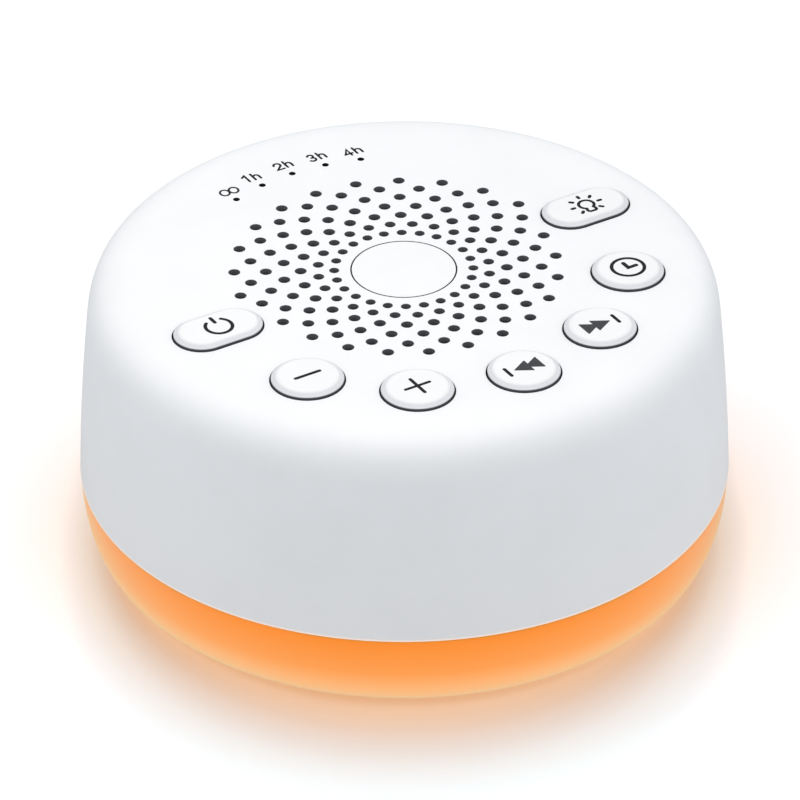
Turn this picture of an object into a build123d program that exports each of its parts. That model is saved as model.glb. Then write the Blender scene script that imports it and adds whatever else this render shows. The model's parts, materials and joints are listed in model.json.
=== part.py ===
"""Bedside white noise sound machine, in millimetres.

The origin is on the floor under the middle of the drum. +Z is up, -Y is the side of the five
round keys, +Y is the side of the timer indicators and the power inlet, +X points at the light key.
"""
import os
from math import atan2, cos, degrees, hypot, radians, sin, sqrt, tan

from build123d import *

# ---- Drum ---------------------------------------------------------------------------------
shell_radius = 52.0          # widest place, at the seam
wall_draft = 1.8             # how far the side wall comes in from the seam to the soft top edge
deck_height = 51.0           # floor to the flat deck
edge_reach = 7.6             # how far the soft edge comes in over the deck
edge_drop = 7.4              # how far the soft edge comes down the wall
edge_fullness = 0.66         # handle length of the soft edge, as a share of its reach
wall_bulge = 0.24            # outward bow of the side wall
shell_wall = 2.2
seam_break = 0.15            # bevel on the shell's lower edge
overcut = 1.0                # how far a cut runs past the face it opens

# ---- Grille and centre disc ---------------------------------------------------------------
holes_per_ring = 24
grille_rings = (             # ring radius, hole diameter
    (11.0, 1.62),
    (13.6, 1.76),
    (16.3, 1.92),
    (19.1, 1.92),
    (21.8, 1.92),
    (24.4, 1.92),
)
outer_ring_radius = 26.8
outer_ring_hole = 1.92
outer_ring_holes = 11        # the last ring only runs round the rear half
grille_web = 0.8             # least plastic left between a hole and a key opening
disc_radius = 8.22
disc_thickness = 1.0
disc_gap = 0.26

# ---- Keys ---------------------------------------------------------------------------------
key_step = 28.3              # degrees from one round key to the next
round_opening = 5.97         # radius
round_key_margin = 1.23      # from the opening out to the edge of the flat deck
pill_length = 15.35
pill_width = 9.5
pill_key_margin = 0.825      # from the opening's end out to the edge of the flat deck
key_gap = 0.25               # between a cap and its opening
key_stand = 0.95             # height of a cap over the deck
bevel_height = 0.6
bevel_width = 0.95
cap_round = 1.5              # between the flat top and the bevel
cap_wall = 1.3
cap_roof = 1.35
flange_width = 1.1
flange_thickness = 1.0
flange_play = 0.1            # under the deck, at rest
stem_radius = 1.9
stem_length = 1.2            # below the flange
key_travel = 0.4
guide_pin_radius = 0.7
guide_pin_length = 2.6
guide_pin_inset = 0.28       # from the opening's edge to the pin
guide_clearance = 0.25

# ---- Key board ----------------------------------------------------------------------------
switch_size = 6.0
switch_height = 3.5
plunger_radius = 1.6
plunger_stand = 1.4
plunger_depth = 2.0          # inside the switch
plunger_clearance = 0.15
board_thickness = 1.6
key_board_rim_gap = 2.0      # from the speaker's rim out to the board
key_board_margin = 5.3       # from the circle of the round keys out to the board's edge
key_boss_offset = 2.8        # from the circle of the round keys out to the bosses
key_boss_radius = 2.3
rear_boss_angle = 50.0       # from the +Y axis

# ---- Timer indicators ---------------------------------------------------------------------
indicator_margin = 8.45      # from the indicators out to the edge of the flat deck
indicator_step = 10.0
indicator_count = 5
indicator_hole = 0.56        # radius
guide_tip_radius = 0.42
guide_tip_recess = 0.6       # below the deck
guide_bar_width = 3.6
guide_bar_height = 1.6
guide_bar_overrun = 4.0      # degrees past the last pin
guide_leg_radius = 0.9
lamp_chip_gap = 0.3          # from a leg to its lamp
indicator_lamp = (1.6, 0.9, 0.7)

# ---- Speaker ------------------------------------------------------------------------------
basket_clearance = 0.575     # from the rim to the flange of a pill key
mesh_overlap = 2.95          # past the rim
mesh_thickness = 0.4
gasket_thickness = 1.1
gasket_inset = 0.6           # from the rim's edge
gasket_width = 2.4
rim_width = 2.8
basket_wall = 1.0
basket_depth = 9.5
basket_waist_inset = 9.0     # from the rim's edge in to the foot of the sloping wall
basket_knee_drop = 3.3       # from the rim to the bend in the sloping wall
basket_knee_inset = 0.8
spider_seat_width = 3.0
spider_seat_rise = 2.0       # above the motor flange
motor_hole_radius = 7.6
window_width = 14.0
surround_thickness = 0.4
roll_radius = 1.3
roll_inset = 5.0             # from the rim's edge in to the middle of the roll
roll_land = 0.5              # from the roll in to the cone
cone_lip = 1.0
cone_thickness = 0.6
cone_depth = 4.7
dust_cap_radius = 8.0
dust_cap_rise = 2.3
dust_cap_wall = 0.4
coil_radius = 6.45           # inside of the former
former_wall = 0.3
former_length = 9.0
winding_depth = 0.25
winding_length = 4.0
glue_gap = 0.05
spider_thickness = 0.4
spider_pitch = 1.3           # from wave to wave
spider_wave_height = 0.45
spider_flat = 0.5            # level band beside the former and beside the seat
spider_edge_gap = 0.4        # from the cloth's edge to the sloping wall
pole_radius = 6.1
magnetic_gap_outer = 7.35
top_plate_radius = 14.5
top_plate_thickness = 2.0
magnet_radius = 16.0
magnet_bore = 8.2
magnet_thickness = 5.5
yoke_radius = 15.5
yoke_thickness = 2.5
speaker_boss_offset = 3.0    # from the rim's edge out to the bosses
speaker_boss_radius = 1.9
speaker_boss_angle = 52.5    # from the +Y axis, rear pair
speaker_head_radius = 3.6
terminal_size = (1.2, 9.0, 3.6)
terminal_lug = (0.8, 1.6, 3.0)
terminal_lug_spread = 3.2
terminal_inset = 0.2         # from the rim's edge to the strip
motor_clearance = 3.8        # from the yoke down to the main board

# ---- Screws -------------------------------------------------------------------------------
shank_radius = 1.3
thread_clearance = 0.05
passing_clearance = 0.25
long_screw = 6.0             # under the head
board_screw = 4.0
speaker_screw = 3.5
tip_clearance = 0.4          # past the screw's point
head_radius = 2.4
head_height = 1.5
recess_width = 0.7
recess_length = 2.6
recess_depth = 0.7

# ---- Chassis and boards -------------------------------------------------------------------
tongue_height = 2.5          # diffuser lip inside the shell
tongue_wall = 1.7
tongue_clearance = 0.2
chassis_thickness = 2.0
chassis_clearance = 0.35
post_margin = 7.5            # from the seam's edge in to the posts
post_radius = 3.0
post_rib = 1.4
post_board_gap = 2.0         # from a post's end up to the key board
standoff_height = 2.2
standoff_radius = 2.8
standoff_inset = 3.95        # from the main board's edge
standoff_angle = 40.2        # from the X axis
main_board_margin = 14.0     # from the seam's edge in to the main board
inlet_tab_width = 14.0
inlet_tab_gap = 0.6          # from the tab to the shell
lamp_board_margin = 10.6     # from the seam's edge in to the lamp board
lamp_board_width = 10.4
lamp_board_thickness = 1.2
lamp_inset = 4.4             # from the lamp board's outer edge in to the lamps
lamp_count = 12
lamp_size = 5.0
lamp_height = 1.4
lamp_boss_height = 1.8
lamp_boss_radius = 2.3
lamp_screw_angle = 15.0
base_post_inset = 5.0        # from the lamp board's inner edge in to the posts
base_post_radius = 3.2
header_inset = 4.0           # from the lamp board's inner edge out to the header
header_size = (2.5, 10.0)
header_clearance = 0.5

# ---- Power inlet --------------------------------------------------------------------------
inlet_width = 8.94
inlet_height = 3.26
inlet_length = 7.3
inlet_wall = 0.3
inlet_corner = 1.55
inlet_back = 1.5             # closed end behind the cavity
inlet_tongue = (6.7, 0.7)
inlet_tongue_setback = 0.8
inlet_clearance = 0.25
plug_recess = (12.4, 6.8)
plug_recess_corner = 3.2
plug_recess_depth = 1.3

# ---- Diffuser, base plate and feet --------------------------------------------------------
diffuser_step = 0.15         # how far the diffuser stands in from the shell
diffuser_reach = 6.55        # how far its wall curves in
foot_stand = 0.8             # rubber below the base
base_margin = 10.0           # from the seam's edge in to the base plate
base_thickness = 2.0
base_gap = 0.2
floor_inset = 1.0            # from the outer floor edge in to the inner one
bowl_fullness = (0.61, 0.54)    # handle lengths at the seam and the floor, as shares of drop and reach
lip_width = 1.8
lip_thickness = 2.0
counterbore_depth = 1.2
foot_inset = 8.0             # from the base plate's edge in to the feet
foot_radius = 5.5
foot_recess = 0.6
foot_gap = 0.15
foot_break = 0.4

# ---- Small board parts --------------------------------------------------------------------
connector_height = 3.4
speaker_connector = (5.0, 7.5)
connector_step = 3.1         # from the wires' upper run out to their connector
ribbon_connector = (10.0, 3.0)
ribbon_inset = 4.5           # from the key board's inner edge out to the ribbon
ribbon_width = 8.0
ribbon_thickness = 0.8
ribbon_bow = 2.5
wire_radius = 0.6
wire_spread = 3.2
wire_offset = 0.9            # from the rim's edge out to the wires
wire_slack = 1.0
bend_share = 0.45            # part of the shorter run that a bend may use
capacitor_radius = 3.15
capacitor_height = 7.7
capacitor_sites = ((-13.0, 26.0), (-6.0, 29.0))
inductor_size = (6.0, 6.0, 3.0)
inductor_site = (12.5, 25.5)
chip_sizes = ((10.0, 10.0, 1.4), (5.0, 4.0, 1.5), (5.0, 5.3, 1.8))
chip_sites = ((26.0, 0.0), (14.0, -22.0), (-18.0, -24.0))

# ---- Levels and radii that follow ---------------------------------------------------------
shoulder_radius = shell_radius - wall_draft
deck_flat_radius = shoulder_radius - edge_reach
deck_under = deck_height - shell_wall
shoulder_height = deck_height - edge_drop

key_circle = deck_flat_radius - round_key_margin - round_opening
pill_distance = deck_flat_radius - pill_key_margin - pill_length / 2
indicator_circle = deck_flat_radius - indicator_margin

basket_radius = pill_distance - pill_length / 2 + key_gap - flange_width - basket_clearance
basket_waist_radius = basket_radius - basket_waist_inset
spider_seat_inner = basket_waist_radius - spider_seat_width
mesh_radius = basket_radius + mesh_overlap
gasket_outer = basket_radius - gasket_inset
gasket_inner = gasket_outer - gasket_width
roll_circle = basket_radius - roll_inset
cone_radius = roll_circle - roll_radius - roll_land
speaker_boss_circle = basket_radius + speaker_boss_offset
wire_drop_x = -basket_radius - wire_offset
speaker_connector_x = wire_drop_x - connector_step

key_board_inner = basket_radius + key_board_rim_gap
key_board_outer = key_circle + key_board_margin
key_boss_circle = key_circle + key_boss_offset
ribbon_y = -key_board_inner - ribbon_inset

post_circle = shell_radius - post_margin
main_board_radius = shell_radius - main_board_margin
standoff_circle = main_board_radius - standoff_inset
lamp_board_outer = shell_radius - lamp_board_margin
lamp_board_inner = lamp_board_outer - lamp_board_width
lamp_circle = lamp_board_outer - lamp_inset
header_x = -lamp_board_inner - header_inset
base_post_circle = lamp_board_inner - base_post_inset
base_radius = shell_radius - base_margin
foot_circle = base_radius - foot_inset

cap_top = deck_height + key_stand
flange_top = deck_under - flange_play
flange_bottom = flange_top - flange_thickness
stem_bottom = flange_bottom - stem_length
switch_top = stem_bottom - plunger_stand
key_board_top = switch_top - switch_height
key_board_bottom = key_board_top - board_thickness
post_top = key_board_bottom - post_board_gap

mesh_bottom = deck_under - mesh_thickness
gasket_bottom = mesh_bottom - gasket_thickness
rim_top = gasket_bottom - surround_thickness
rim_bottom = rim_top - basket_wall
basket_bottom = rim_top - basket_depth
plate_bottom = basket_bottom - top_plate_thickness
magnet_bottom = plate_bottom - magnet_thickness
yoke_bottom = magnet_bottom - yoke_thickness
spider_seat = basket_bottom + basket_wall + spider_seat_rise
cone_bottom = rim_top - cone_depth - cone_thickness

base_bottom = foot_stand
base_top = base_bottom + base_thickness
main_board_top = yoke_bottom - motor_clearance
main_board_bottom = main_board_top - board_thickness
chassis_top = main_board_bottom - standoff_height
chassis_bottom = chassis_top - chassis_thickness
tongue_top = chassis_bottom
seam_height = tongue_top - tongue_height
lamp_board_bottom = chassis_bottom - lamp_board_thickness
inlet_middle = main_board_top + inlet_height / 2

thread_hole = shank_radius + thread_clearance
passing_hole = shank_radius + passing_clearance
head_hole = head_radius + passing_clearance

round_angles = [270 + key_step * place for place in (-2, -1, 0, 1, 2)]
round_names = ["volume_down", "volume_up", "previous", "next", "timer"]
front_angles = [270 - 1.5 * key_step, 270 + 1.5 * key_step]
speaker_screw_angles = [90 - speaker_boss_angle, 90 + speaker_boss_angle] + front_angles
key_screw_angles = [90 - rear_boss_angle, 90 + rear_boss_angle] + front_angles
diagonals = [45, 135, 225, 315]
quarters = [0, 90, 180, 270]


# ---- Helpers ------------------------------------------------------------------------------
def at(radius, angle, height=0.0):
    """Place on a circle about the drum's axis, not turned."""
    return Pos(radius * cos(radians(angle)), radius * sin(radians(angle)), height)


def disc(radius, bottom, top):
    return Pos(0, 0, bottom) * extrude(Circle(radius), top - bottom)


def ring(outer, inner, bottom, top):
    return Pos(0, 0, bottom) * extrude(Circle(outer) - Circle(inner), top - bottom)


def block(size, bottom):
    """Box on its base, size is (x, y, z)."""
    return Pos(0, 0, bottom + size[2] / 2) * Box(*size)


def turned(*corners):
    """Solid of revolution of a closed outline of (radius, height) corners."""
    return revolve(Plane.XZ * make_face(Polyline(*corners, close=True)), Axis.Z)


def group(places, piece):
    """The same solid at each place, kept as separate solids."""
    return Compound(children=[place * piece for place in places])


def save(name, shape):
    shape.label = name
    export_step(shape, f"parts/{name}.step")


def wall_share(height):
    """0 at the seam, 1 at the shoulder."""
    return (height - seam_height) / (shoulder_height - seam_height)


def inner_radius(height):
    """Inside of the shell's side wall at a height."""
    return shell_radius - shell_wall - wall_draft * wall_share(height)


def outer_radius(height):
    """Outside of the shell's side wall at a height, with its bow."""
    share = wall_share(height)
    return inner_radius(height) + shell_wall + 4 * wall_bulge * share * (1 - share)


def corner_arc(level, upright):
    """Arc from a level edge to an upright one, through the middle of their quarter ellipse."""
    share = sin(radians(45))
    middle_radius = level[0] + (upright[0] - level[0]) * share
    middle_height = upright[1] + (level[1] - upright[1]) * share
    return ThreePointArc(level, (middle_radius, middle_height), upright)


def screw(length, head=head_radius):
    """Pan head screw that points up, with the bearing face of its head at the origin."""
    body = disc(head, -head_height, 0) + disc(shank_radius, 0, length)
    for turn in (0, 90):
        cross = Box(recess_length, recess_width, recess_depth)
        body -= Pos(0, 0, recess_depth / 2 - head_height) * Rot(0, 0, turn) * cross
    return body


def thread_depth(length, passed):
    """Depth of the blind hole for a screw that first passes through another piece."""
    return length - passed + tip_clearance


# ---- Shell --------------------------------------------------------------------------------
def drum(edge, wall):
    """Solid of revolution under a rounded edge and a side wall that ends at the seam."""
    rim = edge @ 0
    inside = Polyline(wall @ 1, (0, seam_height), (0, rim.Y), rim)
    return revolve(Plane.XZ * make_face(edge + wall + inside), Axis.Z)


def outer_form():
    """Soft edge fuller than a quarter circle, and a wall that bows out on its way to the seam."""
    rim = Vector(deck_flat_radius, deck_height)
    shoulder = Vector(shoulder_radius, shoulder_height)
    seam = Vector(shell_radius, seam_height)
    wall = ThreePointArc(shoulder, (shoulder + seam) / 2 + Vector(wall_bulge, 0), seam)
    over = rim + Vector(edge_fullness * edge_reach, 0)
    down = shoulder - (wall % 0) * edge_fullness * edge_drop
    return drum(Bezier(rim, over, down, shoulder), wall)


def hollow_form():
    shoulder = (inner_radius(shoulder_height), shoulder_height)
    wall = Line(shoulder, (inner_radius(seam_height), seam_height))
    return drum(corner_arc((deck_flat_radius, deck_under), shoulder), wall)


def room_beside_keys(place):
    """Distance over the deck from a place to the nearest key opening."""
    x, y = place.position.X, place.position.Y
    straight = (pill_length - pill_width) / 2
    past_end = max(abs(abs(x) - pill_distance) - straight, 0)
    rooms = [hypot(past_end, y) - pill_width / 2]
    for angle in round_angles:
        key = at(key_circle, angle).position
        rooms.append(hypot(x - key.X, y - key.Y) - round_opening)
    return min(rooms)


def hole_sites():
    """Centre and diameter of every grille hole; each ring is turned half a step from the last."""
    step = 360 / holes_per_ring
    sites = []
    for index, (radius, diameter) in enumerate(grille_rings):
        shift = step / 2 * (index % 2)
        sites += [(at(radius, shift + step * k), diameter) for k in range(holes_per_ring)]
    first = 90 - step * (outer_ring_holes - 1) / 2
    for k in range(outer_ring_holes):
        sites.append((at(outer_ring_radius, first + step * k), outer_ring_hole))
    return [site for site in sites if room_beside_keys(site[0]) > site[1] / 2 + grille_web]


def key_outline(name):
    """Opening of a key in the deck, centred on the key."""
    if name in ("power", "light"):
        return SlotOverall(pill_length, pill_width)
    return Circle(round_opening)


def key_places():
    places = {"power": Pos(-pill_distance, 0, 0), "light": Pos(pill_distance, 0, 0)}
    for name, angle in zip(round_names, round_angles):
        places[name] = at(key_circle, angle)
    return places


def guide_pin_sites(name):
    """Two moulded pins keep each cap from turning: beside a round cap, above and below a pill."""
    if name in ("power", "light"):
        reach = pill_width / 2 + guide_pin_inset + guide_pin_radius
        return [Pos(0, reach, 0), Pos(0, -reach, 0)]
    reach = round_opening + guide_pin_inset + guide_pin_radius
    return [Pos(reach, 0, 0), Pos(-reach, 0, 0)]


def indicator_sites(height=0.0):
    first = 90 + indicator_step * (indicator_count - 1) / 2
    return [at(indicator_circle, first - indicator_step * k, height) for k in range(indicator_count)]


def deck_cuts():
    """Everything that goes right through the deck."""
    outlines = [place * Circle(diameter / 2) for place, diameter in hole_sites()]
    outlines += [place * key_outline(name) for name, place in key_places().items()]
    outlines += [place * Circle(indicator_hole) for place in indicator_sites()]
    depth = shell_wall + 2 * overcut
    return Pos(0, 0, deck_under - overcut) * extrude(Sketch() + outlines, depth)


def boss_sets():
    """Circle, angles, radius, lower end, upper end and thread depth of the screw bosses."""
    return (
        (speaker_boss_circle, speaker_screw_angles, speaker_boss_radius, rim_bottom, deck_height,
         thread_depth(speaker_screw, 0)),
        (key_boss_circle, key_screw_angles, key_boss_radius, key_board_top, deck_height,
         thread_depth(long_screw, board_thickness)),
        (post_circle, diagonals, post_radius, chassis_top, post_top,
         thread_depth(long_screw, chassis_thickness)),
    )


def bosses():
    """Bosses under the deck, and four housing posts that stand on webs from the side wall."""
    web_size = (post_margin, post_rib, post_top - chassis_top)
    web = Pos(post_circle + post_margin / 2, 0, 0) * block(web_size, chassis_top)
    pieces = [Rot(0, 0, angle) * web for angle in diagonals]
    for circle, angles, radius, bottom, top, _ in boss_sets():
        post = disc(radius, bottom, top)
        pieces += [at(circle, angle) * post for angle in angles]
    return Part() + pieces


def boss_holes():
    pieces = []
    for circle, angles, _, bottom, _, depth in boss_sets():
        hole = disc(thread_hole, bottom, bottom + depth)
        pieces += [at(circle, angle) * hole for angle in angles]
    return Part() + pieces


def inlet_cuts():
    """Recess for the plug's grip and slot for the socket, in the rear wall."""
    floor = outer_radius(inlet_middle) - plug_recess_depth
    recess = RectangleRounded(*plug_recess, plug_recess_corner)
    slot = RectangleRounded(
        inlet_width + 2 * inlet_clearance,
        inlet_height + 2 * inlet_clearance,
        inlet_corner + inlet_clearance,
    )
    out = Plane((0, floor, inlet_middle), x_dir=(1, 0, 0), z_dir=(0, 1, 0))
    through = shell_wall + overcut
    return extrude(out * recess, plug_recess_depth + overcut) + extrude(out * slot, through, both=True)


def top_shell():
    solid_form = outer_form()
    shell = solid_form - hollow_form()
    lower_edges = shell.edges().group_by(Axis.Z)[0]
    shell = chamfer(lower_edges.sort_by(SortBy.RADIUS)[-1], seam_break)
    shell += bosses() & solid_form
    shell -= boss_holes()
    pin = disc(guide_pin_radius, deck_under - guide_pin_length, deck_under + shell_wall / 2)
    for name, place in key_places().items():
        shell += [place * site * pin for site in guide_pin_sites(name)]
    shell -= deck_cuts()
    shell -= disc(disc_radius + disc_gap, deck_height - disc_thickness, deck_height + overcut)
    return shell - inlet_cuts()


def centre_disc():
    return disc(disc_radius, deck_height - disc_thickness, deck_height)


# ---- Keys ---------------------------------------------------------------------------------
def key_cap(name):
    """Hollow cap with a soft, bevelled top, a flange behind the deck and a stem on its switch."""
    outline = offset(key_outline(name), -key_gap)
    bevel_start = cap_top - bevel_height
    slope = degrees(atan2(bevel_width, bevel_height))
    cap = Pos(0, 0, flange_bottom) * extrude(outline, bevel_start - flange_bottom)
    cap += Pos(0, 0, bevel_start) * extrude(outline, bevel_height, taper=slope)
    cap = fillet(cap.faces().sort_by(Axis.Z)[-1].edges(), cap_round)
    cap += Pos(0, 0, flange_bottom) * extrude(offset(outline, flange_width), flange_thickness)
    hollow_height = cap_top - cap_roof - flange_bottom
    cap -= Pos(0, 0, flange_bottom) * extrude(offset(outline, -cap_wall), hollow_height)
    cap += disc(stem_radius, stem_bottom, flange_bottom + hollow_height)
    notch = disc(guide_pin_radius + guide_clearance, flange_bottom, flange_top)
    for site in guide_pin_sites(name):
        cap -= site * notch
    return cap


def switch_plunger():
    return disc(plunger_radius, switch_top - plunger_depth, stem_bottom)


def switch_housing():
    body = block((switch_size, switch_size, switch_height), key_board_top)
    well = plunger_radius + plunger_clearance
    well_bottom = switch_top - plunger_depth - key_travel - plunger_clearance
    return body - disc(well, well_bottom, switch_top)


# ---- Key board and indicators -------------------------------------------------------------
def key_board():
    board = ring(key_board_outer, key_board_inner, key_board_bottom, key_board_top)
    hole = disc(passing_hole, key_board_bottom, key_board_top)
    for angle in key_screw_angles:
        board -= at(key_boss_circle, angle) * hole
    return board


def indicator_light_guide():
    """Five clear pins on one curved bar, which lies against the underside of the deck."""
    span = indicator_step * (indicator_count - 1) + 2 * guide_bar_overrun
    section = Rectangle(guide_bar_width, guide_bar_height)
    section = Pos(indicator_circle, deck_under - guide_bar_height / 2) * section
    bar = revolve(Plane.XZ * section, Axis.Z, span)
    bar = Rot(0, 0, 90 - span / 2) * bar
    lamp_top = key_board_top + indicator_lamp[2]
    for site in indicator_sites():
        bar += site * disc(guide_tip_radius, deck_under, deck_height - guide_tip_recess)
        bar += site * disc(guide_leg_radius, lamp_top + lamp_chip_gap, deck_under - guide_bar_height)
    return bar


# ---- Speaker ------------------------------------------------------------------------------
def acoustic_mesh():
    mesh = Circle(mesh_radius)
    for angle in speaker_screw_angles:
        mesh -= at(speaker_boss_circle, angle) * Circle(speaker_boss_radius + guide_clearance)
    clear = offset(key_outline("power"), flange_width - key_gap + guide_clearance)
    for side in (-pill_distance, pill_distance):
        mesh -= Pos(side, 0) * clear
    return Pos(0, 0, mesh_bottom) * extrude(mesh, mesh_thickness)


def speaker_gasket():
    return ring(gasket_outer, gasket_inner, gasket_bottom, mesh_bottom)


def speaker_basket():
    """Pressed frame: rim, sloping wall with four windows, spider seat and motor flange."""
    rim_inner = basket_radius - rim_width
    knee = rim_top - basket_knee_drop
    knee_inner = rim_inner - basket_knee_inset
    wall = basket_wall
    basket = turned(
        (basket_radius, rim_top),
        (rim_inner, rim_top),
        (knee_inner, knee),
        (basket_waist_radius, spider_seat),
        (spider_seat_inner, spider_seat),
        (spider_seat_inner, basket_bottom + wall),
        (motor_hole_radius, basket_bottom + wall),
        (motor_hole_radius, basket_bottom),
        (spider_seat_inner + wall, basket_bottom),
        (spider_seat_inner + wall, spider_seat - wall),
        (basket_waist_radius + wall / 2, spider_seat - wall),
        (knee_inner + wall, knee - wall / 2),
        (rim_inner + wall, rim_bottom),
        (basket_radius, rim_bottom),
    )
    reach = basket_radius - basket_waist_radius
    height = knee - spider_seat - wall
    window = Pos(basket_waist_radius + wall + reach / 2, 0, 0) * block(
        (reach, window_width, height), spider_seat + wall / 2
    )
    for angle in diagonals:
        basket -= Rot(0, 0, angle) * window
    return basket


def speaker_surround():
    """Rubber half roll that dips below the rim, glued to the rim and to the cone's lip."""
    top = rim_top + surround_thickness
    outer_roll = roll_radius + surround_thickness
    reach = sqrt(outer_roll**2 - surround_thickness**2)
    dip = ThreePointArc(
        (roll_circle + roll_radius, top),
        (roll_circle, top - roll_radius),
        (roll_circle - roll_radius, top),
    )
    under = ThreePointArc(
        (roll_circle - reach, rim_top),
        (roll_circle, top - outer_roll),
        (roll_circle + reach, rim_top),
    )
    lip = cone_radius - cone_lip
    inner = Polyline(dip @ 1, (lip, top), (lip, rim_top), under @ 0)
    outer = Polyline(under @ 1, (gasket_outer, rim_top), (gasket_outer, top), dip @ 0)
    return revolve(Plane.XZ * make_face(dip + inner + under + outer), Axis.Z)


def cone_neck():
    return coil_radius + former_wall + glue_gap


def cone_surface(radius):
    """Height of the cone's front face at a radius."""
    foot = rim_top - cone_depth
    lip = cone_radius - cone_lip
    return foot + cone_depth * (radius - cone_neck()) / (lip - cone_neck())


def speaker_cone():
    lip = cone_radius - cone_lip
    neck = cone_neck()
    return turned(
        (neck, cone_bottom),
        (lip, rim_top - cone_thickness),
        (cone_radius, rim_top - cone_thickness),
        (cone_radius, rim_top),
        (lip, rim_top),
        (neck, cone_bottom + cone_thickness),
    )


def dust_cap():
    """Shallow dome of even thickness, cut from two balls with one centre."""
    seat = cone_surface(dust_cap_radius) + glue_gap
    ball_radius = (dust_cap_radius**2 + dust_cap_rise**2) / (2 * dust_cap_rise)
    centre = Pos(0, 0, seat + dust_cap_rise - ball_radius)
    dome = centre * Sphere(ball_radius) - centre * Sphere(ball_radius - dust_cap_wall)
    return dome & disc(dust_cap_radius, seat, seat + dust_cap_rise)


def voice_coil():
    """Paper former with its winding, which hangs in the magnetic gap."""
    former_top = cone_bottom + cone_thickness
    former = ring(coil_radius + former_wall, coil_radius, former_top - former_length, former_top)
    middle = basket_bottom - top_plate_thickness / 2
    former_radius = coil_radius + former_wall
    half = winding_length / 2
    return former + ring(former_radius + winding_depth, former_radius, middle - half, middle + half)


def speaker_spider():
    """Rippled cloth disc between the former and the spider seat."""
    start = cone_neck() + spider_flat
    width = spider_seat_inner - spider_flat - start
    steps = 2 * max(round(width / spider_pitch), 1)
    ripple = []
    for k in range(steps + 1):
        ripple.append((start + width * k / steps, spider_seat + spider_wave_height * (k % 2)))
    edge = (basket_waist_radius - spider_edge_gap, spider_seat)
    under = [(cone_neck(), spider_seat)] + ripple + [edge]
    over = [(radius, height + spider_thickness) for radius, height in reversed(under)]
    return turned(*under, *over)


def speaker_top_plate():
    return ring(top_plate_radius, magnetic_gap_outer, plate_bottom, basket_bottom)


def speaker_magnet():
    return ring(magnet_radius, magnet_bore, magnet_bottom, plate_bottom)


def speaker_yoke():
    return disc(yoke_radius, yoke_bottom, magnet_bottom) + disc(pole_radius, magnet_bottom, basket_bottom)


def speaker_terminals():
    """Fibre strip under the rim, with two solder lugs."""
    outer_face = terminal_inset - basket_radius
    bottom = rim_bottom - terminal_size[2]
    strip = Pos(outer_face + terminal_size[0] / 2, 0, 0) * block(terminal_size, bottom)
    lug = Pos(outer_face - terminal_lug[0] / 2, 0, 0) * block(terminal_lug, bottom)
    for side in (-terminal_lug_spread / 2, terminal_lug_spread / 2):
        strip += Pos(0, side, 0) * lug
    return strip


# ---- Chassis and boards -------------------------------------------------------------------
def standoff_places():
    angles = [turn + side * standoff_angle for turn in (0, 180) for side in (-1, 1)]
    return [at(standoff_circle, angle) for angle in angles]


def lamp_screw_angles():
    return [lamp_screw_angle + quarter for quarter in quarters]


def chassis():
    """White tray that closes the shell; boards sit above and below it."""
    radius = inner_radius(chassis_top) - chassis_clearance
    tray = disc(radius, chassis_bottom, chassis_top)
    for place in standoff_places():
        tray += place * disc(standoff_radius, chassis_top, main_board_bottom)
    for angle in lamp_screw_angles():
        boss = disc(lamp_boss_radius, chassis_top, chassis_top + lamp_boss_height)
        tray += at(lamp_circle, angle) * boss
    for angle in quarters:
        tray += at(base_post_circle, angle) * disc(base_post_radius, base_top, chassis_bottom)
    board_depth = thread_depth(board_screw, board_thickness)
    for place in standoff_places():
        tray -= place * disc(thread_hole, main_board_bottom - board_depth, main_board_bottom)
    lamp_depth = thread_depth(board_screw, lamp_board_thickness)
    for angle in lamp_screw_angles():
        tray -= at(lamp_circle, angle) * disc(thread_hole, chassis_bottom, chassis_bottom + lamp_depth)
    base_depth = thread_depth(long_screw, base_thickness - counterbore_depth)
    for angle in quarters:
        tray -= at(base_post_circle, angle) * disc(thread_hole, base_top, base_top + base_depth)
    for angle in diagonals:
        tray -= at(post_circle, angle) * disc(passing_hole, chassis_bottom, chassis_top)
    slot_length = header_size[0] + 2 * header_clearance
    slot_width = header_size[1] + 2 * header_clearance
    slot = block((slot_length, slot_width, chassis_thickness), chassis_bottom)
    return tray - Pos(header_x, 0, 0) * slot


def main_board():
    """Round board with a tab that carries the power inlet."""
    tab_end = inner_radius(main_board_top) - inlet_tab_gap
    tab = Pos(0, tab_end / 2) * Rectangle(inlet_tab_width, tab_end)
    outline = Circle(main_board_radius) + tab
    for place in standoff_places():
        outline -= place * Circle(passing_hole)
    return Pos(0, 0, main_board_bottom) * extrude(outline, board_thickness)


def board_chips():
    chips = [Pos(x, y, 0) * block(size, main_board_top) for (x, y), size in zip(chip_sites, chip_sizes)]
    chips.append(Pos(*inductor_site, 0) * block(inductor_size, main_board_top))
    return Compound(children=chips)


def board_capacitors():
    can = disc(capacitor_radius, main_board_top, main_board_top + capacitor_height)
    return group([Pos(x, y, 0) for x, y in capacitor_sites], can)


def board_connectors():
    """Speaker connector and ribbon connector on the main board, ribbon connector under the key board."""
    speaker_plug = block((*speaker_connector, connector_height), main_board_top)
    ribbon_block = (*ribbon_connector, connector_height)
    return Compound(
        children=[
            Pos(speaker_connector_x, 0, 0) * speaker_plug,
            Pos(0, ribbon_y, 0) * block(ribbon_block, main_board_top),
            Pos(0, ribbon_y, 0) * block(ribbon_block, key_board_bottom - connector_height),
        ]
    )


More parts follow.
